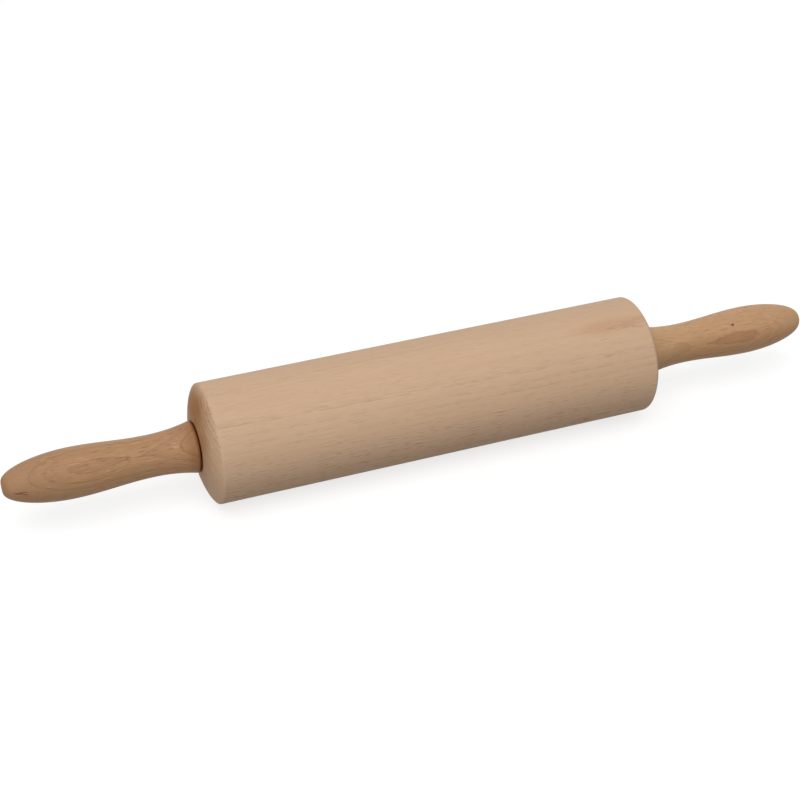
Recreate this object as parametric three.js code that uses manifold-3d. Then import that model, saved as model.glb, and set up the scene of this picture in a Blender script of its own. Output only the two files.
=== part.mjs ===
// Rolling pin: a turned beech barrel that spins on two ball bearings round a steel axle,
// with a turned beech handle glued on each end of the axle.
// Millimetres, +Z up. The axle lies along X. The origin is under the middle of the barrel,
// on the surface that the barrel rests on.

import * as THREE from "three";
import { mergeVertices } from "three/addons/utils/BufferGeometryUtils.js";
import Module from "manifold-3d";

// Barrel
const BARREL_DIAMETER = 60;
const BARREL_LENGTH = 240; // over the crowned ends
const END_CROWN = 5.9; // axial depth of a crowned end, from its crisp edge to the seat in its middle
const CROWN_BEND = 3.1; // how far in from the cylinder the crown bends from steep to nearly flat
const CROWN_DROP = 2.5; // how far below the seat it bends
const SEAT_WIDTH = 1.7; // of the flat seat round the mouth of a bearing pocket
const MOUTH_CHAMFER = 0.4; // at the mouths of the bearing pockets and the handle bores

// Handles
const HANDLE_BASE_DIAMETER = 25.4;
const HANDLE_NECK_DIAMETER = 20.6;
const HANDLE_SWELL_DIAMETER = 24.6;
const TIP_FLAT_DIAMETER = 5;
const BASE_TO_NECK = 22.3;
const NECK_TO_SWELL = 38;
const SWELL_TO_TIP = 33;
const FLARE_EASE = 11; // length of the curve's tangent on the base side of the neck
const NECK_EASE = 14; // length of the tangents of the curve from the neck to the swell
const NOSE_EASE = 16.5; // length of the curve's tangent where the nose leaves the swell
const TIP_EASE = 5.5; // length of the curve's tangent where the nose meets the flat of the tip
const BASE_ROUND = 1.5; // on the edge of the base
const HANDLE_GAP = 0.4; // running gap between the base of a handle and the barrel

// Axle
const AXLE_DIAMETER = 8;
const AXLE_GRIP = 58; // length held inside each handle
const AXLE_CHAMFER = 0.8;
const BARREL_BORE_CLEARANCE = 1; // radial, between the axle and the barrel that turns round it
const GLUE_SPACE = 1.5; // free bore past each end of the axle
const DRILL_POINT_ANGLE = 118; // degrees, at the bottom of the bore in a handle
const GLUE_GROOVES = 3; // spread evenly along each end that a handle holds
const GLUE_GROOVE_WIDTH = 2;
const GLUE_GROOVE_DEPTH = 0.4;

// Ball bearings
const BALL_DIAMETER = 3.97;
const BALLS = 7; // in each bearing
const BEARING_RECESS = 0.8; // depth of the bearing below the seat of the barrel
const RING_WALL = 1.35; // metal between a race and the other side of its ring
const RING_CHAMFER = 0.3;
const RACE_DEPTH = 0.65; // height of a ring's shoulders above its race
const RACE_CLEARANCE = 0.12; // by which the radius of a race is larger than the ball's
const CAGE_CLEARANCE = 0.55; // radial, to the shoulders of both rings
const CAGE_BACK = 0.65; // thickness behind the balls
const CAGE_PRONG = 1.3; // how far the prongs reach past the middles of the balls
const HOLLOW_CLEARANCE = 0.12; // between a ball and its hollow in the cage
const SHIELD_THICKNESS = 0.3;
const SHIELD_SET_BACK = 0.25; // below the side of the bearing
const SHIELD_LEDGE = 0.5; // width of the ledge in the outer ring that holds a shield
const SHIELD_CLEARANCE = 0.25; // radial, to the inner ring that turns inside it
const SHIELD_GAP = 0.195; // between a shield and the back of the cage

// Fits
const FIT_CLEARANCE = 0.1; // radial, where a round piece sits in or on another
const SEAT_CLEARANCE = 0.05; // between flat faces that rest on each other

// Facets round each turned piece, and steps along each curve of a profile
const BARREL_FACETS = 60;
const HANDLE_FACETS = 38;
const AXLE_FACETS = 16;
const BEARING_FACETS = 24;
const BALL_FACETS = 10;
const BALL_BANDS = 6;
const CURVE_STEPS = 7;
const ROUND_STEPS = 1;
const RACE_STEPS = 2;

// Sizes that follow from those above
const barrelRadius = BARREL_DIAMETER / 2;
const barrelEnd = BARREL_LENGTH / 2;
const handleBase = barrelEnd + HANDLE_GAP;
const baseRadius = HANDLE_BASE_DIAMETER / 2;
const neckRadius = HANDLE_NECK_DIAMETER / 2;
const swellRadius = HANDLE_SWELL_DIAMETER / 2;
const tipRadius = TIP_FLAT_DIAMETER / 2;
const swellAt = BASE_TO_NECK + NECK_TO_SWELL;
const handleLength = swellAt + SWELL_TO_TIP;

const axleRadius = AXLE_DIAMETER / 2;
const axleEnd = handleBase + AXLE_GRIP;
const slipRadius = axleRadius + FIT_CLEARANCE; // of every bore that the axle is fixed in
const handleBoreDepth = AXLE_GRIP + GLUE_SPACE;
const drillPoint = slipRadius / Math.tan(THREE.MathUtils.degToRad(DRILL_POINT_ANGLE / 2));

const ballRadius = BALL_DIAMETER / 2;
const raceRadius = ballRadius + RACE_CLEARANCE;
const raceAngle = Math.acos(1 - RACE_DEPTH / raceRadius); // half of what a race wraps round a ball
const pitchRadius = slipRadius + RING_WALL + raceRadius;
const innerShoulderRadius = slipRadius + RING_WALL + RACE_DEPTH;
const outerShoulderRadius = pitchRadius + raceRadius - RACE_DEPTH;
const bearingRadius = pitchRadius + raceRadius + RING_WALL;
const hollowRadius = ballRadius + HOLLOW_CLEARANCE;
const cageBack = hollowRadius + CAGE_BACK;
const shieldBack = cageBack + SHIELD_GAP;
const shieldFace = shieldBack + SHIELD_THICKNESS;
const ledgeRadius = outerShoulderRadius + SHIELD_LEDGE;
const ledgeFace = shieldBack - SEAT_CLEARANCE;
const bearingSide = shieldFace + SHIELD_SET_BACK;
const bearingAt = barrelEnd - BEARING_RECESS - bearingSide;
const washerThickness = BEARING_RECESS + HANDLE_GAP - 2 * SEAT_CLEARANCE;

const pocketRadius = bearingRadius + FIT_CLEARANCE;
const mouthRadius = pocketRadius + MOUTH_CHAMFER;
const seatRadius = mouthRadius + SEAT_WIDTH;
const pocketFloor = bearingAt - bearingSide - SEAT_CLEARANCE;
const barrelBoreRadius = axleRadius + BARREL_BORE_CLEARANCE;

// The barrel rests on a facet, so its axis is one facet's distance above the origin.
const axisHeight = barrelRadius * Math.cos(Math.PI / BARREL_FACETS);

const barrelBeech = new THREE.MeshStandardMaterial({ color: 0xc9a98a, roughness: 0.7 });
const handleBeech = new THREE.MeshStandardMaterial({ color: 0xb58a62, roughness: 0.5 });
const axleSteel = new THREE.MeshStandardMaterial({ color: 0xa9abad, roughness: 0.35, metalness: 1 });
const bearingSteel = new THREE.MeshStandardMaterial({ color: 0xc4c6c8, roughness: 0.2, metalness: 1 });
const cageNylon = new THREE.MeshStandardMaterial({ color: 0xe6e0d2, roughness: 0.6 });

const wasm = await Module();
wasm.setup();

function piece(name, geometry, material) {
  const mesh = new THREE.Mesh(geometry, material);
  mesh.name = name;
  return mesh;
}

// Turns a profile of (radius, distance along X) points about X, with its outer side running towards +X.
// It starts half a facet round, so that a flat and not an edge points straight down.
function turned(points, facets) {
  const geometry = new THREE.LatheGeometry(points, facets, Math.PI / facets);
  return geometry.rotateZ(-Math.PI / 2);
}

function closed(points) {
  return [...points, points[0].clone()];
}

// Adds the left half of a profile whose right half is given.
function mirrored(right) {
  const left = right.map((point) => new THREE.Vector2(point.x, -point.y));
  return [...left.reverse(), ...right];
}

// A square-edged ring that reaches from one place along X to another
function ring(inside, outside, from, to) {
  const profile = [
    new THREE.Vector2(inside, from),
    new THREE.Vector2(outside, from),
    new THREE.Vector2(outside, to),
    new THREE.Vector2(inside, to),
  ];
  return turned(closed(profile), BEARING_FACETS);
}

// A closed solid for joining and cutting, which needs its shared vertices merged
function solidFrom(geometry) {
  const bare = geometry.clone();
  bare.deleteAttribute("normal");
  bare.deleteAttribute("uv");
  const merged = mergeVertices(bare);
  const vertProperties = merged.getAttribute("position").array;
  const triVerts = merged.getIndex().array;
  return new wasm.Manifold(new wasm.Mesh({ numProp: 3, vertProperties, triVerts }));
}

function geometryFrom(solid) {
  const { vertProperties, triVerts } = solid.getMesh();
  const geometry = new THREE.BufferGeometry();
  geometry.setAttribute("position", new THREE.BufferAttribute(vertProperties, 3));
  geometry.setIndex(new THREE.BufferAttribute(triVerts, 1));
  geometry.computeVertexNormals();
  return geometry;
}

// A ball, or the larger hollow that holds one
function ballGeometry(radius) {
  return new THREE.SphereGeometry(radius, BALL_FACETS, BALL_BANDS);
}

// Where each ball of a bearing sits
function ballCentres() {
  const centres = [];
  for (let i = 0; i < BALLS; i += 1) {
    const angle = (2 * Math.PI * i) / BALLS;
    centres.push(new THREE.Vector3(0, pitchRadius * Math.sin(angle), pitchRadius * Math.cos(angle)));
  }
  return centres;
}

// Barrel: a cylinder with crowned ends, a pocket for a bearing in each end and a bore between them
function barrelGeometry() {
  const end = new THREE.Path();
  end.moveTo(barrelRadius, barrelEnd - END_CROWN);
  end.quadraticCurveTo(barrelRadius - CROWN_BEND, barrelEnd - CROWN_DROP, seatRadius, barrelEnd);
  end.lineTo(mouthRadius, barrelEnd);
  end.lineTo(pocketRadius, barrelEnd - MOUTH_CHAMFER);
  end.lineTo(pocketRadius, pocketFloor);
  end.lineTo(barrelBoreRadius, pocketFloor);
  return turned(closed(mirrored(end.getPoints(CURVE_STEPS))), BARREL_FACETS);
}

// Handle: a flared base, a waisted neck, a swelling grip and a blunt nose, with a drilled bore.
// The profile runs from the drill's point to the base, then along the outside to the tip.
function handleGeometry() {
  const bore = new THREE.Path();
  bore.moveTo(0, handleBoreDepth + drillPoint);
  bore.lineTo(slipRadius, handleBoreDepth);
  bore.lineTo(slipRadius, MOUTH_CHAMFER);
  bore.lineTo(slipRadius + MOUTH_CHAMFER, 0);
  bore.absarc(baseRadius - BASE_ROUND, BASE_ROUND, BASE_ROUND, -Math.PI / 2, 0);

  const outside = new THREE.Path();
  outside.moveTo(baseRadius, BASE_ROUND);
  outside.quadraticCurveTo(neckRadius, BASE_TO_NECK - FLARE_EASE, neckRadius, BASE_TO_NECK);
  outside.bezierCurveTo(
    neckRadius, BASE_TO_NECK + NECK_EASE,
    swellRadius, swellAt - NECK_EASE,
    swellRadius, swellAt,
  );
  outside.bezierCurveTo(
    swellRadius, swellAt + NOSE_EASE,
    tipRadius + TIP_EASE, handleLength,
    tipRadius, handleLength,
  );
  outside.lineTo(0, handleLength);

  const toBase = bore.getPoints(ROUND_STEPS).slice(0, -1);
  return turned([...toBase, ...outside.getPoints(CURVE_STEPS)], HANDLE_FACETS);
}

// Axle: a steel rod with chamfered ends, and grooves for glue where the handles hold it
function axleGeometry() {
  const grooveRadius = axleRadius - GLUE_GROOVE_DEPTH;
  const spacing = AXLE_GRIP / (GLUE_GROOVES + 1);
  const end = [];
  for (let i = 1; i <= GLUE_GROOVES; i += 1) {
    const from = handleBase + i * spacing - GLUE_GROOVE_WIDTH / 2;
    const to = from + GLUE_GROOVE_WIDTH;
    end.push(new THREE.Vector2(axleRadius, from));
    end.push(new THREE.Vector2(grooveRadius, from));
    end.push(new THREE.Vector2(grooveRadius, to));
    end.push(new THREE.Vector2(axleRadius, to));
  }
  end.push(new THREE.Vector2(axleRadius, axleEnd - AXLE_CHAMFER));
  end.push(new THREE.Vector2(axleRadius - AXLE_CHAMFER, axleEnd));
  end.push(new THREE.Vector2(0, axleEnd));
  return turned(mirrored(end), AXLE_FACETS);
}

// Outer ring: a race for the balls, and a ledge on each side for a shield
function outerRingGeometry() {
  const profile = new THREE.Path();
  profile.moveTo(bearingRadius, -bearingSide + RING_CHAMFER);
  profile.lineTo(bearingRadius, bearingSide - RING_CHAMFER);
  profile.lineTo(bearingRadius - RING_CHAMFER, bearingSide);
  profile.lineTo(ledgeRadius, bearingSide);
  profile.lineTo(ledgeRadius, ledgeFace);
  profile.lineTo(outerShoulderRadius, ledgeFace);
  profile.absarc(pitchRadius, 0, raceRadius, raceAngle, -raceAngle, true);
  profile.lineTo(outerShoulderRadius, -ledgeFace);
  profile.lineTo(ledgeRadius, -ledgeFace);
  profile.lineTo(ledgeRadius, -bearingSide);
  profile.lineTo(bearingRadius - RING_CHAMFER, -bearingSide);
  return turned(closed(profile.getPoints(RACE_STEPS)), BEARING_FACETS);
}

// Inner ring: a race for the balls outside, and the axle's seat inside
function innerRingGeometry() {
  const profile = new THREE.Path();
  profile.moveTo(slipRadius + RING_CHAMFER, -bearingSide);
  profile.lineTo(innerShoulderRadius, -bearingSide);
  profile.absarc(pitchRadius, 0, raceRadius, Math.PI + raceAngle, Math.PI - raceAngle, true);
  profile.lineTo(innerShoulderRadius, bearingSide);
  profile.lineTo(slipRadius + RING_CHAMFER, bearingSide);
  profile.lineTo(slipRadius, bearingSide - RING_CHAMFER);
  profile.lineTo(slipRadius, -bearingSide + RING_CHAMFER);
  return turned(closed(profile.getPoints(RACE_STEPS)), BEARING_FACETS);
}

// Crown cage: a ring with a hollow for each ball, open on one side so that the balls snap in
function cageGeometry() {
  const inside = innerShoulderRadius + CAGE_CLEARANCE;
  const outside = outerShoulderRadius - CAGE_CLEARANCE;
  let crown = solidFrom(ring(inside, outside, -cageBack, CAGE_PRONG));
  for (const centre of ballCentres()) {
    const hollow = ballGeometry(hollowRadius).translate(centre.x, centre.y, centre.z);
    crown = crown.subtract(solidFrom(hollow));
  }
  return geometryFrom(crown);
}

// One shielded ball bearing, centred on its own group, with its outer side towards +X
function bearing(end) {
  const group = new THREE.Group();
  group.add(piece(`${end}_bearing_outer_ring`, outerRingGeometry(), bearingSteel));
  group.add(piece(`${end}_bearing_inner_ring`, innerRingGeometry(), bearingSteel));
  group.add(piece(`${end}_bearing_cage`, cageGeometry(), cageNylon));

  ballCentres().forEach((centre, i) => {
    const ball = piece(`${end}_bearing_ball_${i + 1}`, ballGeometry(ballRadius), bearingSteel);
    ball.position.copy(centre);
    group.add(ball);
  });

  const shieldInside = innerShoulderRadius + SHIELD_CLEARANCE;
  const shieldOutside = ledgeRadius - FIT_CLEARANCE;
  const outer = ring(shieldInside, shieldOutside, shieldBack, shieldFace);
  const inner = ring(shieldInside, shieldOutside, -shieldFace, -shieldBack);
  group.add(piece(`${end}_bearing_outer_shield`, outer, bearingSteel));
  group.add(piece(`${end}_bearing_inner_shield`, inner, bearingSteel));

  group.position.x = bearingAt;
  return group;
}

// Everything at one end of the pin, drawn as the right end: bearing, spacer washer and handle.
// The washer sits between the inner ring and the handle, and sets the handle's gap to the barrel.
function endAssembly(end) {
  const washer = piece(
    `${end}_spacer_washer`,
    ring(slipRadius, innerShoulderRadius, 0, washerThickness),
    axleSteel,
  );
  washer.position.x = barrelEnd - BEARING_RECESS + SEAT_CLEARANCE;
  const handle = piece(`${end}_handle`, handleGeometry(), handleBeech);
  handle.position.x = handleBase;
  const group = new THREE.Group();
  group.add(bearing(end), washer, handle);
  return group;
}

const rightEnd = endAssembly("right");
const leftEnd = endAssembly("left");
leftEnd.rotation.z = Math.PI;

const onAxis = new THREE.Group();
onAxis.position.z = axisHeight;
onAxis.add(piece("barrel", barrelGeometry(), barrelBeech));
onAxis.add(piece("axle_rod", axleGeometry(), axleSteel));
onAxis.add(leftEnd, rightEnd);

const rollingPin = new THREE.Group();
rollingPin.name = "rolling_pin";
rollingPin.add(onAxis);

export default rollingPin;
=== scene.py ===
import math
from collections import namedtuple

import bmesh
import bpy
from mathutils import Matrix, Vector


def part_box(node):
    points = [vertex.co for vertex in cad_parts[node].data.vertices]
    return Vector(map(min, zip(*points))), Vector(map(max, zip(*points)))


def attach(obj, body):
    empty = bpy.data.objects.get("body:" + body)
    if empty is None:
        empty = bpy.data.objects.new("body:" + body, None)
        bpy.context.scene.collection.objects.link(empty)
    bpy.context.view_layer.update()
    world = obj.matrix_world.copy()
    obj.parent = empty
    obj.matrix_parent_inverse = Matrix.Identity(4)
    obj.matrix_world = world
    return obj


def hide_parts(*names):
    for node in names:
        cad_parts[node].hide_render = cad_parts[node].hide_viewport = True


# Rolling pin: a turned beech barrel on ball bearings, and turned beech handles on a steel axle.
# Metres, in the frame of the solids. The axle lies along X and the front faces -Y.

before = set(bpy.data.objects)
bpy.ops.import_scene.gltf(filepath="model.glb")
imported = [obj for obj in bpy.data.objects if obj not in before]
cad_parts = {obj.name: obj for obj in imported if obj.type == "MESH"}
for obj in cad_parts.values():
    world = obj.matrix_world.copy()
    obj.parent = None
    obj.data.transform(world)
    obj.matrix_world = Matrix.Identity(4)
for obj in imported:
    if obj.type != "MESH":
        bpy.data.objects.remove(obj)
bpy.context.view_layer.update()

# Places and sizes read from the solids
barrel_low, barrel_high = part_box("barrel")
handle_low, handle_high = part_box("right_handle")
AXIS_HEIGHT = (barrel_low.z + barrel_high.z) / 2
AXLE_MIDDLE = Vector((0, 0, AXIS_HEIGHT))
BARREL_RADIUS = AXIS_HEIGHT - barrel_low.z
BARREL_END = barrel_high.x
HANDLE_BASE = handle_low.x
HANDLE_LENGTH = handle_high.x - handle_low.x
BASE_RADIUS = handle_high.y

# Crowned ends of the barrel, and the pockets that hold the bearings
END_CROWN = 0.0059
CROWN_BEND = 0.0031
CROWN_DROP = 0.0025
RIM_ROUND = 0.0006
SEAT_RADIUS = 0.01321
MOUTH_RADIUS = 0.01151
MOUTH_CHAMFER = 0.0004
POCKET_RADIUS = MOUTH_RADIUS - MOUTH_CHAMFER
POCKET_DEPTH = 0.00785
BORE_RADIUS = 0.005

# Handles
NECK_RADIUS = 0.0103
SWELL_RADIUS = 0.0123
TIP_RADIUS = 0.0025
BASE_TO_NECK = 0.0223
BASE_TO_SWELL = 0.0603
FLARE_EASE = 0.011
NECK_EASE = 0.014
NOSE_EASE = 0.0165
TIP_EASE = 0.0055
BASE_ROUND = 0.0015
SLIP_RADIUS = 0.0041
HANDLE_BORE_DEPTH = 0.0595
DRILL_POINT = 0.00246

# Fineness of the turned pieces
BARREL_SEGMENTS = 240
HANDLE_SEGMENTS = 160
CURVE_STEPS = 28
HALF_SIDE_STEPS = 18
ROUND_STEPS = 6
SHARP_ANGLE = math.radians(35)

# The map that carries a turned piece's finish when it is exported: a strip has the whole profile along it and
# a share of the turn across it. Narrow parts get less room, down to a least share, and ends get more.
MAP_NAME = "OFBake"
MAP_MARGIN = 0.006
BARREL_STRIPS = 2
HANDLE_STRIPS = 1
LEAST_ROOM = 0.08
END_ROOM = 2.0

# Camera, aimed at the middle of the axle; the shifts move the view across and up.
# Blender takes the width of the sensor and the focal length in millimetres.
CAMERA_AZIMUTH = math.radians(-21.208)
CAMERA_ELEVATION = math.radians(33.243)
CAMERA_DISTANCE = 0.9163
CAMERA_ACROSS = -0.013433
CAMERA_UP = -0.001514
SENSOR_WIDTH = 0.036
FOCAL_LENGTH = 0.082185
MILLIMETRES = 1000

# Lights
WORLD_LEVEL = 0.5
KEY_PLACE = Vector((-0.35, -0.7, 1.5))
KEY_SIZE = 1.4
KEY_POWER = 13.7
FILL_PLACE = Vector((-2.0, -1.8, 0.2))
FILL_SIZE = 1.8
FILL_POWER = 17.5
BACK_PLACE = Vector((0.9, 1.9, 0.9))
BACK_SIZE = 1.8
BACK_POWER = 4
FLOOR_SIZE = 8
FLOOR_BOUNCE = 0.24
FLOOR_SHADE = 0.35
FLOOR_GLOW = 0.75

# How a written colour turns into light: evenly where it is dark, and along a curve above that
FULL_CHANNEL = 255
DARK_LIMIT = 0.04045
DARK_SLOPE = 12.92
CURVE_SHIFT = 0.055
CURVE_POWER = 2.4

# How many layers a noise has, each finer than the last, and its middle value
PLAIN_NOISE = 1.0
FINER_NOISE = 2.0
FINEST_NOISE = 3.0
NOISE_MIDDLE = 0.5

# Sockets of a node that mixes colours, which have no names of their own
MIX_SHARE, MIX_FIRST, MIX_SECOND = 0, 6, 7
MIX_RESULT = 2


def bezier(points, steps):
    """Points along a curve of any degree, its end included and its start left out."""
    curve = []
    for i in range(1, steps + 1):
        level = [Vector(p) for p in points]
        while len(level) > 1:
            level = [a.lerp(b, i / steps) for a, b in zip(level, level[1:])]
        curve.append(level[0])
    return curve


def map_places(profile):
    """Where the points of a profile lie along a strip of the map, from 0 to 1."""
    widest = max(point.x for point in profile)
    places = [0.0]
    for near, far in zip(profile, profile[1:]):
        step = far - near
        width = (near.x + far.x) / 2 / widest
        room = max(LEAST_ROOM, width ** 2) * (1 + END_ROOM * abs(step.x) / step.length)
        places.append(places[-1] + step.length * room)
    return [place / places[-1] for place in places]


def inset(share):
    """A place across or along a strip of the map, kept off its borders."""
    return MAP_MARGIN + share * (1 - 2 * MAP_MARGIN)


def ring_of_corners(mesh, radius, along, segments):
    """The corners round the axle at one place, which are all the same corner on the axis."""
    if radius == 0:
        return [mesh.verts.new((along, 0, AXIS_HEIGHT))] * segments
    corners = []
    for i in range(segments):
        angle = 2 * math.pi * i / segments
        across = radius * math.sin(angle)
        up = radius * math.cos(angle)
        corners.append(mesh.verts.new((along, across, AXIS_HEIGHT + up)))
    return corners


def turned(name, profile, segments, strips, side=1):
    """Turns a profile of (radius, along) points about the axle.

    The profile closes on itself unless it starts on the axis.
    """
    mesh = bmesh.new()
    layer = mesh.loops.layers.uv.new(MAP_NAME)
    rings = [ring_of_corners(mesh, radius, side * along, segments) for radius, along in profile]
    if profile[0].x > 0:
        profile = profile + profile[:1]
        rings.append(rings[0])
    places = map_places(profile)
    for near, far, low, high in zip(rings, rings[1:], places, places[1:]):
        for i in range(segments):
            j = (i + 1) % segments
            strip, turn = divmod(i * strips / segments, 1)
            ahead = turn + strips / segments
            corners = {
                near[i]: (low, turn),
                near[j]: (low, ahead),
                far[j]: (high, ahead),
                far[i]: (high, turn),
            }
            for corner in mesh.faces.new(list(corners)).loops:
                place, around = corners[corner.vert]
                corner[layer].uv = ((strip + inset(place)) / strips, inset(around))
    bmesh.ops.recalc_face_normals(mesh, faces=mesh.faces)
    data = bpy.data.meshes.new(name)
    mesh.to_mesh(data)
    mesh.free()
    data.shade_smooth()
    data.set_sharp_from_angle(angle=SHARP_ANGLE)
    piece = bpy.data.objects.new(name, data)
    bpy.context.scene.collection.objects.link(piece)
    return piece


def barrel_profile():
    """The barrel's outline: its side, a crowned end, a bearing pocket and the bore, then the same mirrored.

    The crown's curve starts a little way in from the rim, where the small round of the rim ends.
    """
    rim = Vector((BARREL_RADIUS, BARREL_END - END_CROWN))
    bend = Vector((BARREL_RADIUS - CROWN_BEND, BARREL_END - CROWN_DROP))
    seat = Vector((SEAT_RADIUS, BARREL_END))
    share = RIM_ROUND / (2 * (bend - rim).length)
    turn = bend.lerp(seat, share)
    start = rim.lerp(bend, share).lerp(turn, share)
    stop = rim - Vector((0, RIM_ROUND))
    side = bezier([(BARREL_RADIUS, 0), stop - Vector((0, RIM_ROUND))], HALF_SIDE_STEPS) + [stop]
    crown = bezier([stop, rim, start], ROUND_STEPS) + bezier([start, turn, seat], CURVE_STEPS)
    pocket = [
        Vector((MOUTH_RADIUS, BARREL_END)),
        Vector((POCKET_RADIUS, BARREL_END - MOUTH_CHAMFER)),
        Vector((POCKET_RADIUS, BARREL_END - POCKET_DEPTH)),
        Vector((BORE_RADIUS, BARREL_END - POCKET_DEPTH)),
    ]
    right = side + crown + pocket
    left = [Vector((point.x, -point.y)) for point in reversed(right)]
    return left + [Vector((BARREL_RADIUS, 0))] + right


def base_round():
    """The round at the edge of a handle's base: a quarter circle, its end included and its start left out."""
    points = []
    for i in range(1, ROUND_STEPS + 1):
        angle = math.pi / 2 * (1 - i / ROUND_STEPS)
        radius = BASE_RADIUS - BASE_ROUND + BASE_ROUND * math.cos(angle)
        along = BASE_ROUND - BASE_ROUND * math.sin(angle)
        points.append(Vector((radius, along)))
    return points


def handle_profile():
    """The handle's outline, from the point of its bore to its base, and along the outside to its tip."""
    bore = [
        Vector((0, HANDLE_BORE_DEPTH + DRILL_POINT)),
        Vector((SLIP_RADIUS, HANDLE_BORE_DEPTH)),
        Vector((SLIP_RADIUS, MOUTH_CHAMFER)),
        Vector((SLIP_RADIUS + MOUTH_CHAMFER, 0)),
        Vector((BASE_RADIUS - BASE_ROUND, 0)),
    ]
    flare = bezier(
        [
            (BASE_RADIUS, BASE_ROUND),
            (NECK_RADIUS, BASE_TO_NECK - FLARE_EASE),
            (NECK_RADIUS, BASE_TO_NECK),
        ],
        CURVE_STEPS,
    )
    swell = bezier(
        [
            (NECK_RADIUS, BASE_TO_NECK),
            (NECK_RADIUS, BASE_TO_NECK + NECK_EASE),
            (SWELL_RADIUS, BASE_TO_SWELL - NECK_EASE),
            (SWELL_RADIUS, BASE_TO_SWELL),
        ],
        CURVE_STEPS,
    )
    nose = bezier(
        [
            (SWELL_RADIUS, BASE_TO_SWELL),
            (SWELL_RADIUS, BASE_TO_SWELL + NOSE_EASE),
            (TIP_RADIUS + TIP_EASE, HANDLE_LENGTH),
            (TIP_RADIUS, HANDLE_LENGTH),
        ],
        CURVE_STEPS,
    )
    tip = [Vector((0, HANDLE_LENGTH))]
    points = bore + base_round() + flare + swell + nose + tip
    return [Vector((point.x, HANDLE_BASE + point.y)) for point in points]


def linear(value):
    """One channel of a written colour, from 0 to 255, as light."""
    share = value / FULL_CHANNEL
    if share <= DARK_LIMIT:
        return share / DARK_SLOPE
    return ((share + CURVE_SHIFT) / (1 + CURVE_SHIFT)) ** CURVE_POWER


def colour(red, green, blue):
    return (linear(red), linear(green), linear(blue), 1)


def grey(level):
    return (level, level, level, 1)


class Shader:
    """Adds nodes to one material and joins them."""

    def __init__(self, name):
        self.material = bpy.data.materials.new(name)
        self.material.use_nodes = True
        self.tree = self.material.node_tree
        self.surface = self.tree.nodes["Principled BSDF"]

    def put(self, socket, value):
        """Joins a socket to another one, or gives it a constant."""
        if isinstance(value, bpy.types.NodeSocket):
            self.tree.links.new(value, socket)
        else:
            socket.default_value = value

    def add(self, kind, inputs, **settings):
        node = self.tree.nodes.new(kind)
        for name, value in settings.items():
            setattr(node, name, value)
        for key, value in inputs.items():
            self.put(node.inputs[key], value)
        return node

    def math(self, operation, a, b=0.0, c=0.0):
        return self.add("ShaderNodeMath", {0: a, 1: b, 2: c}, operation=operation).outputs[0]

    def vector(self, operation, a, b=(0, 0, 0), c=(0, 0, 0)):
        return self.add("ShaderNodeVectorMath", {0: a, 1: b, 2: c}, operation=operation).outputs["Vector"]

    def dot(self, a, b):
        return self.add("ShaderNodeVectorMath", {0: a, 1: b}, operation="DOT_PRODUCT").outputs["Value"]

    def length(self, a):
        return self.add("ShaderNodeVectorMath", {0: a}, operation="LENGTH").outputs["Value"]

    def step(self, value, low, high):
        """0 below low and 1 above high, or the other way round where low is the larger."""
        inputs = {"Value": value, "From Min": low, "From Max": high}
        return self.add("ShaderNodeMapRange", inputs, interpolation_type="SMOOTHSTEP").outputs["Result"]

    def stretched(self, place, size, seed):
        """Places in units of a size, given as (along the piece, across it)."""
        along, across = size
        return self.vector("MULTIPLY_ADD", place, (1 / along, 1 / across, 1 / across), (seed, seed, seed))

    def noise(self, place, size, layers, seed=0.0):
        """Noise from 0 to 1 with grains of that size."""
        inputs = {"Vector": self.stretched(place, size, seed), "Scale": 1.0, "Detail": layers}
        return self.add("ShaderNodeTexNoise", inputs).outputs["Fac"]

    def ramp(self, value, stops):
        """A curve through (place, height) stops."""
        node = self.add("ShaderNodeValToRGB", {"Fac": value})
        elements = node.color_ramp.elements
        for place, height in stops[len(elements):]:
            elements.new(place)
        for element, (place, height) in zip(elements, stops):
            element.position = place
            element.color = grey(height)
        return node.outputs["Color"]

    def blend(self, share, a, b):
        inputs = {MIX_SHARE: share, MIX_FIRST: a, MIX_SECOND: b}
        return self.add("ShaderNodeMix", inputs, data_type="RGBA").outputs[MIX_RESULT]

    def relief(self, height, depth):
        """Raises the surface where height is larger, by up to that depth."""
        bump = self.add("ShaderNodeBump", {"Strength": 1.0, "Distance": depth, "Height": height})
        self.put(self.surface.inputs["Normal"], bump.outputs["Normal"])


# Figure of the wood: the sizes of its grains, as (along the piece, across it)
WAVE = (0.09, 0.025)
RAGGED = (0.006, 0.0009)
BLOT = (0.02, 0.009)
SOAK = (0.012, 0.0011)
FIBRE = (0.03, 0.0006)
STREAK = (0.07, 0.002)
TONE = (0.1, 0.02)
PORE = (0.0004, 0.0004)
DASHES = ((0.015, 0.0008), (0.007, 0.0007))
PALE_SHIFT = (0, 0, 0.0005)
# What the figure is worth: how faint the faintest ring is, how large a dash is in its cell, the least share
# of dashes, and how much less broken the growth lines are where they are cut across
FAINTEST_RING = 0.55
DASH_EDGE = (0.34, 0.12)
FEWEST_DASHES = 0.25
END_WHOLE = 0.1
# How far the surface faces along the grain, from 0 to 1, where the end grain starts and where the dashes stop
END_EDGE = (0.6, 0.95)
DASH_STOP = (0.5, 0.12)
RELIEF_DEPTH = 0.00002
ROUGHNESS_SPREAD = 0.15

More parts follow.
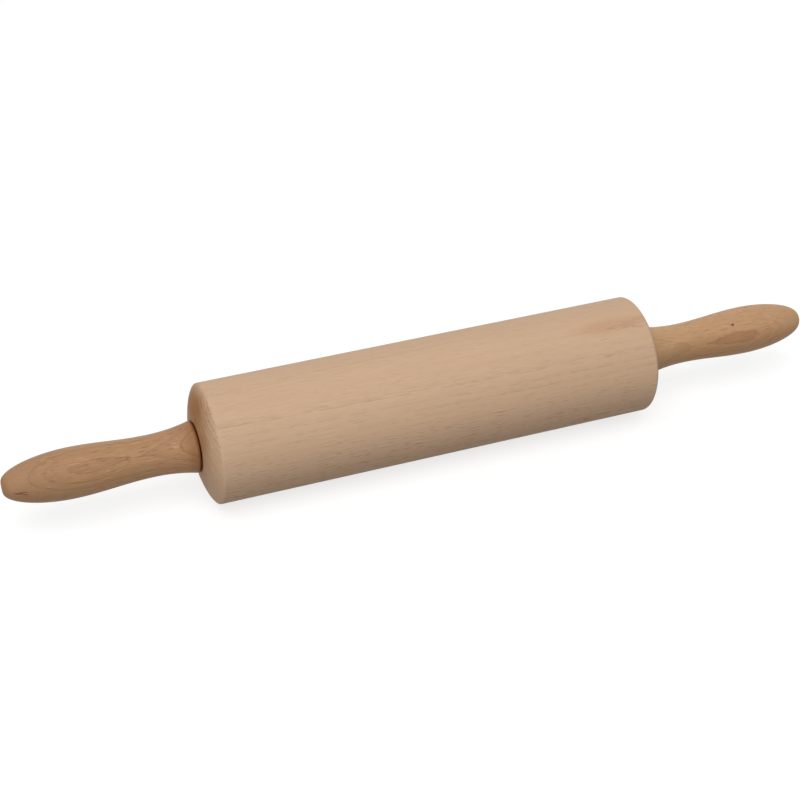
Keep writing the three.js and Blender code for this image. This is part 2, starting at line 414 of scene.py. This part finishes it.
# A stain, knot, crack or patch of painted shade: where its middle is, its size along the piece, round it and
# into it, how soft and uneven its edge is, and its colour. A large mark's edge reaches further along some
# rings than along others, as a stain's does where it has seeped in, and it wanders slowly.
Mark = namedtuple("Mark", "along radius angle length width deep edge strength tint")
LARGE_MARK = 0.012
SOAK_SHARE = 1.2
# Dark brown in the running gaps: painted shade in the gaps, partly grime and grease
GRIME_AND_GAP_SHADE = colour(142, 77, 12)
# Brown for stains, and for painted shade where a handle meets the barrel
STAIN_AND_SHADE = colour(136, 86, 42)
GOLDEN = colour(142, 85, 8)
# Darker brown at the handles' bases beside the barrel: painted shade, partly grime
GRIME_AND_BASE_SHADE = colour(120, 68, 24)
DULL = colour(112, 82, 58)
YELLOWED = colour(206, 170, 126)
KNOT = colour(88, 48, 28)
RED_SPOT = colour(150, 92, 62)
WARM = colour(176, 118, 78)


class Wood(Shader):
    """Beech, coloured by places inside the block that a piece is turned from."""

    def __init__(self, name, grain):
        super().__init__(name)
        self.grain = grain
        source = self.add("ShaderNodeTexCoord", {})
        endward = self.math("ABSOLUTE", self.dot(source.outputs["Normal"], (1, 0, 0)))
        self.end_cut = self.step(endward, *END_EDGE)
        self.lengthwise = self.step(endward, *DASH_STOP)
        middle = (-grain["start"], 0, -AXIS_HEIGHT)
        self.place = self.vector("MULTIPLY_ADD", source.outputs["Object"], (grain["side"], 1, 1), middle)
        self.along = self.dot(self.place, (1, 0, 0))
        facing = math.radians(grain["facing"])
        self.barkward = Vector((0, -math.sin(facing), math.cos(facing)))
        self.below = self.dot(self.place, (0, -math.cos(facing), -math.sin(facing)))
        self.ragged = self.uneven(RAGGED, FINER_NOISE)
        self.depth = self.ring_depth()
        wander = self.uneven(BLOT, FINEST_NOISE)
        self.ring_wander = self.math("MULTIPLY_ADD", self.ring_streaks(), SOAK_SHARE, wander)

    def figure(self, size, layers):
        return self.noise(self.place, size, layers, self.grain["seed"])

    def about_zero(self, noise):
        return self.math("SUBTRACT", noise, NOISE_MIDDLE)

    def uneven(self, size, layers):
        """Noise about 0."""
        return self.about_zero(self.figure(size, layers))

    def ring_depth(self):
        """How far out in the tree a place lies, counted from the axle."""
        grain = self.grain
        out = self.vector("MULTIPLY_ADD", self.place, (0, 1, 1), self.barkward * grain["heart"])
        depth = self.math("SUBTRACT", self.length(out), grain["heart"])
        depth = self.math("MULTIPLY_ADD", self.along, grain["lean"], depth)
        depth = self.math("MULTIPLY_ADD", self.uneven(WAVE, PLAIN_NOISE), grain["waves"], depth)
        return self.math("MULTIPLY_ADD", self.ragged, grain["ragged"], depth)

    def ring_streaks(self):
        """Noise about 0 that runs along the growth lines."""
        parts = {"X": self.below, "Y": self.depth}
        place = self.add("ShaderNodeCombineXYZ", parts).outputs["Vector"]
        return self.about_zero(self.noise(place, SOAK, FINER_NOISE, self.grain["seed"]))

    def growth_lines(self):
        """Dark at the edge of each ring and fading towards the next, with broken lines and faint rings."""
        rings = self.grain["rings"]
        first, last = rings[0].depth, rings[-1].depth
        inputs = {"Value": self.depth, "From Min": first, "From Max": last}
        share = self.add("ShaderNodeMapRange", inputs).outputs["Result"]
        places = [(ring.depth - first) / (last - first) for ring in rings]
        most = rings[-1].number
        numbers = [(place, ring.number / most) for place, ring in zip(places, rings)]
        strengths = [(place, ring.strength) for place, ring in zip(places, rings)]
        count = self.math("MULTIPLY", self.ramp(share, numbers), most)
        line = self.ramp(self.math("FRACT", count), self.grain["fall"])
        line = self.math("MULTIPLY", line, self.ramp(share, strengths))
        whole = self.math("FLOOR", count)
        chance = self.add("ShaderNodeTexWhiteNoise", {"W": whole}, noise_dimensions="1D").outputs["Value"]
        clear = self.math("MULTIPLY_ADD", chance, 1 - FAINTEST_RING, FAINTEST_RING)
        line = self.math("MULTIPLY", line, clear)
        gaps = self.figure(self.grain["break"], PLAIN_NOISE)
        unbroken = self.math("MULTIPLY_ADD", self.end_cut, END_WHOLE, gaps)
        line = self.math("MULTIPLY", line, self.step(unbroken, *self.grain["break_edge"]))
        line = self.math("MULTIPLY", line, self.step(self.below, *self.grain["faint_side"]))
        darker = self.math("MULTIPLY_ADD", self.end_cut, self.grain["end_lines"], 1.0)
        return self.math("MULTIPLY", line, darker)

    def dashes(self, size, shift=(0, 0, 0)):
        """Short dashes along the grain, the most of them where the rings are cut on edge."""
        cell = self.stretched(self.vector("SUBTRACT", self.place, shift), size, self.grain["seed"])
        cells = self.add("ShaderNodeTexVoronoi", {"Vector": cell, "Scale": 1.0})
        dash = self.step(cells.outputs["Distance"], *DASH_EDGE)
        chance = self.dot(cells.outputs["Color"], (1, 0, 0))
        dash = self.math("MULTIPLY", dash, chance)
        many = self.step(self.depth, *self.grain["dash_depth"])
        many = self.math("MULTIPLY_ADD", many, 1 - FEWEST_DASHES, FEWEST_DASHES)
        return self.math("MULTIPLY", dash, self.math("MULTIPLY", many, self.lengthwise))

    def mark(self, mark):
        """How strong a mark is at a place: it is an oval on the surface and goes some way into the wood."""
        angle = math.radians(mark.angle)
        out = Vector((0, -math.sin(angle), math.cos(angle)))
        around = Vector((0, math.cos(angle), math.sin(angle)))
        centre = Vector((mark.along, 0, 0)) + out * mark.radius
        offset = self.vector("SUBTRACT", self.place, centre)
        parts = {
            "X": self.dot(offset, Vector((1, 0, 0)) * 2 / mark.length),
            "Y": self.dot(offset, around * 2 / mark.width),
            "Z": self.dot(offset, out * 2 / mark.deep),
        }
        distance = self.length(self.add("ShaderNodeCombineXYZ", parts).outputs["Vector"])
        unevenness = self.ring_wander if mark.width > LARGE_MARK else self.ragged
        distance = self.math("MULTIPLY_ADD", unevenness, mark.edge, distance)
        inside = self.step(distance, 1 + mark.edge, 1 - mark.edge)
        return self.math("MULTIPLY", inside, mark.strength)


def beech(name, grain):
    wood = Wood(name, grain)
    fibre = wood.figure(FIBRE, FINEST_NOISE)
    dash = wood.math("ADD", *[wood.dashes(size) for size in DASHES])
    shade = grain["shade"]
    for part, figure in (
        ("growth", wood.growth_lines()),
        ("dash", dash),
        ("pale_dash", wood.dashes(DASHES[0], PALE_SHIFT)),
        ("fibre", fibre),
        ("streak", wood.figure(STREAK, FINER_NOISE)),
        ("tone", wood.figure(TONE, FINER_NOISE)),
        ("end", wood.math("MULTIPLY", wood.end_cut, wood.figure(PORE, PLAIN_NOISE))),
    ):
        shade = wood.math("MULTIPLY_ADD", figure, grain[part], shade)
    tint = wood.blend(shade, grain["pale"], grain["dark"])
    for mark in grain["marks"]:
        tint = wood.blend(wood.mark(mark), tint, mark.tint)
    wood.put(wood.surface.inputs["Base Color"], tint)
    roughness = wood.math("MULTIPLY_ADD", fibre, ROUGHNESS_SPREAD, grain["roughness"])
    wood.put(wood.surface.inputs["Roughness"], roughness)
    wood.put(wood.surface.inputs["Specular IOR Level"], grain["gloss"])
    wood.relief(wood.math("SUBTRACT", fibre, dash), RELIEF_DEPTH)
    return wood.material


# A growth ring: how deep its edge lies at the start of the piece, its number, and how dark it is
Ring = namedtuple("Ring", "depth number strength")

# The grain of each piece: which way its length runs and where that starts, the angle towards the bark, how
# far off the heart of the tree lies, and how much the rings climb along the piece. Then the rings, how a
# growth line falls off towards the next, how far the rings wander in long waves and in short ones, where
# their lines break, where they fade out round the piece, and at which depths the dashes start and are most.
# Last, how much of the dark colour is there without a figure and with each part of it, the finish, the two
# colours and the marks.
BARREL_GRAIN = {
    "side": 1,
    "start": 0.0,
    "facing": 25,
    "heart": 0.2,
    "lean": 0.0085,
    "rings": (
        Ring(-0.0326, 0, 0.3),
        Ring(0.0182, 22, 0.3),
        Ring(0.0210, 23, 0.4),
        Ring(0.0233, 24, 0.8),
        Ring(0.0254, 25, 0.7),
        Ring(0.0275, 26, 1.0),
        Ring(0.0307, 27, 1.0),
        Ring(0.0340, 28, 1.0),
    ),
    "fall": ((0.0, 1.0), (0.12, 0.6), (0.3, 0.2), (0.75, 0.1), (0.9, 0.0)),
    "waves": 0.0007,
    "ragged": 0.0003,
    "break": (0.007, 0.0010),
    "break_edge": (0.40, 0.60),
    "faint_side": (-0.03, 0.004),
    "dash_depth": (0.0262, 0.0060),
    "seed": 3.0,
    "shade": 0.09,
    "growth": 0.27,
    "end_lines": 3.0,
    "dash": 0.58,
    "pale_dash": -0.36,
    "fibre": 0.07,
    "streak": 0.11,
    "tone": 0.06,
    "end": 0.06,
    "roughness": 0.58,
    "gloss": 0.2,
    "pale": colour(218, 185, 154),
    "dark": colour(138, 98, 66),
    "marks": (
        # The left end darker and golden brown over its top and round the top of the handle's seat
        Mark(-0.1195, 0.0215, -20, 0.011, 0.037, 0.018, 0.6, 0.76, GOLDEN),
        Mark(-0.1200, 0.0135, 30, 0.010, 0.026, 0.016, 0.8, 0.5, GOLDEN),
        # Both ends darker brown round the handle: painted shade beside the handle, partly stain
        Mark(-0.1200, 0.0, 0, 0.020, 0.038, 0.038, 0.35, 0.2, STAIN_AND_SHADE),
        Mark(0.1200, 0.0, 0, 0.020, 0.038, 0.038, 0.35, 0.2, STAIN_AND_SHADE),
        # A dark brown ring at each end's seat, in the running gap: painted shade in the gap, partly grime
        Mark(-0.1200, 0.0, 0, 0.006, 0.0258, 0.0258, 0.02, 0.9, GRIME_AND_GAP_SHADE),
        Mark(0.1200, 0.0, 0, 0.006, 0.0258, 0.0258, 0.02, 0.9, GRIME_AND_GAP_SHADE),
        Mark(0.0945, 0.030, 22.5, 0.034, 0.0085, 0.020, 0.7, 0.26, WARM),
        Mark(0.0780, 0.030, 124, 0.004, 0.0018, 0.004, 0.4, 0.6, RED_SPOT),
    ),
}
LEFT_GRAIN = {
    "side": -1,
    "start": HANDLE_BASE,
    "facing": 48,
    "heart": 0.11,
    "lean": -0.054,
    "rings": (
        Ring(-0.0156, 0, 0.1),
        Ring(0.0052, 11.9, 0.1),
        Ring(0.0054, 12, 1.0),
        Ring(0.0072, 13, 0.4),
        Ring(0.0089, 14, 0.7),
        Ring(0.0107, 15, 0.8),
        Ring(0.0125, 16, 0.6),
        Ring(0.0145, 17, 0.6),
    ),
    "fall": ((0.0, 1.0), (0.06, 0.65), (0.2, 0.4), (0.6, 0.2), (0.98, 0.05)),
    "waves": 0.0004,
    "ragged": 0.0004,
    "break": (0.02, 0.003),
    "break_edge": (0.18, 0.4),
    "faint_side": (-0.03, -0.02),
    "dash_depth": (-0.03, -0.02),
    "seed": 7.0,
    "shade": 0.1,
    "growth": 0.5,
    "end_lines": 2.0,
    "dash": 0.4,
    "pale_dash": -0.4,
    "fibre": 0.16,
    "streak": 0.14,
    "tone": 0.1,
    "end": 0.18,
    "roughness": 0.48,
    "gloss": 0.3,
    "pale": colour(196, 153, 112),
    "dark": colour(116, 76, 46),
    "marks": (
        # The first three marks darken the handle towards its base, most on its front, where it meets the
        # barrel: painted shade, partly grime
        Mark(0.0, 0.0, 0, 0.0160, 0.05, 0.05, 0.7, 0.3, STAIN_AND_SHADE),
        Mark(0.0, 0.0, 0, 0.0036, 0.05, 0.05, 0.6, 0.5, GRIME_AND_BASE_SHADE),
        Mark(0.0012, 0.0127, 66, 0.0075, 0.0260, 0.0240, 0.6, 0.38, GRIME_AND_BASE_SHADE),
        Mark(0.0900, 0.0, 0, 0.0560, 0.05, 0.05, 0.6, 0.2, DULL),
        Mark(0.0930, 0.0, 0, 0.0040, 0.0240, 0.0240, 0.6, 0.25, RED_SPOT),
        Mark(0.0871, 0.0080, 88.5, 0.0044, 0.0008, 0.006, 0.35, 0.75, KNOT),
        Mark(0.0846, 0.0088, 84, 0.0040, 0.0007, 0.006, 0.35, 0.6, KNOT),
        Mark(0.0841, 0.0090, 92, 0.0030, 0.0007, 0.006, 0.35, 0.6, KNOT),
    ),
}
RIGHT_GRAIN = {
    **LEFT_GRAIN,
    "side": 1,
    "facing": 72,
    "lean": -0.05,
    "rings": (
        Ring(-0.0150, 0, 0.15),
        Ring(0.0064, 13.9, 0.15),
        Ring(0.0066, 14, 0.45),
        Ring(0.0079, 15, 0.3),
        Ring(0.0088, 15.8, 0.3),
        Ring(0.0090, 16, 1.0),
        Ring(0.0100, 16.6, 0.6),
        Ring(0.0105, 17, 0.25),
        Ring(0.0125, 18, 0.25),
        Ring(0.0145, 19, 0.25),
    ),
    "fall": ((0.0, 1.0), (0.1, 0.8), (0.35, 0.55), (0.95, 0.0)),
    "ragged": 0.0006,
    "seed": 11.0,
    "growth": 0.38,
    "dash": 0.3,
    "pale_dash": -0.25,
    "pale": colour(211, 170, 126),
    "dark": colour(134, 80, 54),
    "marks": (
        Mark(0.0090, 0.0, 0, 0.0300, 0.05, 0.05, 0.7, 0.3, YELLOWED),
        # Darker towards the base, where the handle meets the barrel: painted shade, partly grime
        Mark(0.0, 0.0, 0, 0.0036, 0.05, 0.05, 0.6, 0.5, GRIME_AND_BASE_SHADE),
        Mark(0.0493, 0.0119, 37, 0.0017, 0.0014, 0.002, 0.3, 0.85, KNOT),
        Mark(0.0407, 0.0113, 64, 0.0012, 0.0009, 0.002, 0.3, 0.5, KNOT),
        Mark(0.0520, 0.0121, -21, 0.0020, 0.0010, 0.002, 0.4, 0.5, RED_SPOT),
        Mark(0.0626, 0.0123, -13, 0.0020, 0.0010, 0.002, 0.4, 0.6, RED_SPOT),
        Mark(0.0658, 0.0121, -14, 0.0014, 0.0009, 0.002, 0.4, 0.6, RED_SPOT),
        Mark(0.0420, 0.0110, 96, 0.0900, 0.0150, 0.0150, 0.3, 0.2, STAIN_AND_SHADE),
    ),
}

# Brushed steel, made dark brown and dull beside the running gaps as painted shade there, partly grease, and
# moulded nylon inside
BRUSH = (0.0002, 0.004)
CLOUD = (0.002, 0.002)
AXLE_GREY = colour(176, 178, 180)
AXLE_ROUGHNESS = 0.28
BEARING_GREY = colour(200, 202, 204)
BEARING_ROUGHNESS = 0.18
BRUSHED_GREY = colour(120, 122, 125)
GREASE_AND_SHADE_ROUGHNESS = 0.6
GREASE_AND_SHADE_REACH = (0.0020, 0.0012)
GAP_PLACE = (BARREL_END + HANDLE_BASE) / 2
NYLON_PALE = colour(232, 226, 212)
NYLON_DARK = colour(214, 206, 188)
NYLON_ROUGHNESS = 0.45


def steel(name, shade, roughness):
    shader = Shader(name)
    source = shader.add("ShaderNodeTexCoord", {})
    marks = shader.noise(source.outputs["Object"], BRUSH, FINEST_NOISE)
    along = shader.math("ABSOLUTE", shader.dot(source.outputs["Object"], (1, 0, 0)))
    from_gap = shader.math("ABSOLUTE", shader.math("SUBTRACT", along, GAP_PLACE))
    # Dark brown, rough and less metallic beside the running gaps: painted shade in the gaps, partly grease
    grease_and_shade = shader.step(from_gap, *GREASE_AND_SHADE_REACH)
    tint = shader.blend(grease_and_shade, shader.blend(marks, shade, BRUSHED_GREY), GRIME_AND_GAP_SHADE)
    shader.put(shader.surface.inputs["Base Color"], tint)
    rough = shader.math("MULTIPLY_ADD", marks, ROUGHNESS_SPREAD, roughness)
    rough = shader.math("MAXIMUM", rough, shader.math("MULTIPLY", grease_and_shade, GREASE_AND_SHADE_ROUGHNESS))
    shader.put(shader.surface.inputs["Roughness"], rough)
    shader.put(shader.surface.inputs["Metallic"], shader.math("SUBTRACT", 1.0, grease_and_shade))
    return shader.material


def nylon(name):
    shader = Shader(name)
    source = shader.add("ShaderNodeTexCoord", {})
    cloud = shader.noise(source.outputs["Object"], CLOUD, FINEST_NOISE)
    shader.put(shader.surface.inputs["Base Color"], shader.blend(cloud, NYLON_PALE, NYLON_DARK))
    rough = shader.math("MULTIPLY_ADD", cloud, ROUGHNESS_SPREAD, NYLON_ROUGHNESS)
    shader.put(shader.surface.inputs["Roughness"], rough)
    return shader.material


def clothe(piece, material, body, node):
    """Gives a new piece its finish, the body that it rides on and the solid that it stands for."""
    piece.data.materials.append(material)
    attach(piece, body)
    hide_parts(node)


barrel = turned("beech_barrel", barrel_profile(), BARREL_SEGMENTS, BARREL_STRIPS)
clothe(barrel, beech("barrel_wood", BARREL_GRAIN), "barrel", "barrel")
for end, side, grain in (("left", -1, LEFT_GRAIN), ("right", 1, RIGHT_GRAIN)):
    handle = turned(f"{end}_beech_handle", handle_profile(), HANDLE_SEGMENTS, HANDLE_STRIPS, side)
    wood = beech(f"{end}_handle_wood", grain)
    clothe(handle, wood, "axle_and_handles", f"{end}_handle")

# The solids that no new piece stands for keep their shapes
axle_material = steel("axle_steel_finish", AXLE_GREY, AXLE_ROUGHNESS)
bearing_material = steel("bearing_steel_finish", BEARING_GREY, BEARING_ROUGHNESS)
nylon_material = nylon("cage_nylon_finish")
for name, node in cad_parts.items():
    if node.hide_render:
        continue
    if "cage" in name:
        node.material_slots[0].material = nylon_material
    elif "bearing" in name:
        node.material_slots[0].material = bearing_material
    else:
        node.material_slots[0].material = axle_material


def seen_rays(tree):
    """1 for what the camera sees, straight or in a shiny surface, and 0 for light that bounces."""
    path = tree.nodes.new("ShaderNodeLightPath")
    most = path.outputs["Is Camera Ray"]
    for name in ("Is Glossy Ray", "Is Transmission Ray"):
        larger = tree.nodes.new("ShaderNodeMath")
        larger.operation = "MAXIMUM"
        tree.links.new(most, larger.inputs[0])
        tree.links.new(path.outputs[name], larger.inputs[1])
        most = larger.outputs[0]
    return most


def white_world():
    """A world that looks white and lights the part at its own level."""
    world = bpy.data.worlds.new("studio")
    world.use_nodes = True
    bpy.context.scene.world = world
    tree = world.node_tree
    background = tree.nodes["Background"]
    background.inputs["Color"].default_value = grey(1)
    level = tree.nodes.new("ShaderNodeMapRange")
    tree.links.new(seen_rays(tree), level.inputs["Value"])
    level.inputs["To Min"].default_value = WORLD_LEVEL
    level.inputs["To Max"].default_value = 1.0
    tree.links.new(level.outputs["Result"], background.inputs["Strength"])


def diffuse(tree, level):
    node = tree.nodes.new("ShaderNodeBsdfDiffuse")
    node.inputs["Color"].default_value = grey(level)
    return node.outputs["BSDF"]


def white_floor():
    """A floor that looks white, keeps the part's shadow and throws a little light back."""
    half = FLOOR_SIZE / 2
    corners = [(-half, -half, 0), (half, -half, 0), (half, half, 0), (-half, half, 0)]
    data = bpy.data.meshes.new("floor")
    data.from_pydata(corners, [], [(0, 1, 2, 3)])
    floor = bpy.data.objects.new("floor", data)
    bpy.context.scene.collection.objects.link(floor)
    material = bpy.data.materials.new("floor_white")
    material.use_nodes = True
    tree = material.node_tree
    tree.nodes.remove(tree.nodes["Principled BSDF"])
    glow = tree.nodes.new("ShaderNodeEmission")
    glow.inputs["Strength"].default_value = FLOOR_GLOW
    seen = tree.nodes.new("ShaderNodeAddShader")
    tree.links.new(diffuse(tree, FLOOR_SHADE), seen.inputs[0])
    tree.links.new(glow.outputs["Emission"], seen.inputs[1])
    choose = tree.nodes.new("ShaderNodeMixShader")
    tree.links.new(seen_rays(tree), choose.inputs["Fac"])
    tree.links.new(diffuse(tree, FLOOR_BOUNCE), choose.inputs[1])
    tree.links.new(seen.outputs["Shader"], choose.inputs[2])
    tree.links.new(choose.outputs["Shader"], tree.nodes["Material Output"].inputs["Surface"])
    data.materials.append(material)


def soft_light(name, place, size, power):
    data = bpy.data.lights.new(name, "AREA")
    data.shape = "DISK"
    data.size = size
    data.energy = power
    lamp = bpy.data.objects.new(name, data)
    lamp.location = place
    lamp.rotation_mode = "QUATERNION"
    lamp.rotation_quaternion = (AXLE_MIDDLE - place).to_track_quat("-Z", "Y")
    bpy.context.scene.collection.objects.link(lamp)


def camera():
    flat = math.cos(CAMERA_ELEVATION)
    back = Vector((
        math.sin(CAMERA_AZIMUTH) * flat,
        -math.cos(CAMERA_AZIMUTH) * flat,
        math.sin(CAMERA_ELEVATION),
    ))
    right = Vector((math.cos(CAMERA_AZIMUTH), math.sin(CAMERA_AZIMUTH), 0))
    up = back.cross(right)
    data = bpy.data.cameras.new("camera")
    data.sensor_width = SENSOR_WIDTH * MILLIMETRES
    data.lens = FOCAL_LENGTH * MILLIMETRES
    lens = bpy.data.objects.new("camera", data)
    lens.location = AXLE_MIDDLE + back * CAMERA_DISTANCE + right * CAMERA_ACROSS + up * CAMERA_UP
    lens.rotation_mode = "QUATERNION"
    lens.rotation_quaternion = (-back).to_track_quat("-Z", "Y")
    bpy.context.scene.collection.objects.link(lens)
    bpy.context.scene.camera = lens


white_world()
white_floor()
soft_light("key", KEY_PLACE, KEY_SIZE, KEY_POWER)
soft_light("fill", FILL_PLACE, FILL_SIZE, FILL_POWER)
soft_light("back", BACK_PLACE, BACK_SIZE, BACK_POWER)
camera()
bpy.context.scene.view_settings.view_transform = "Standard"
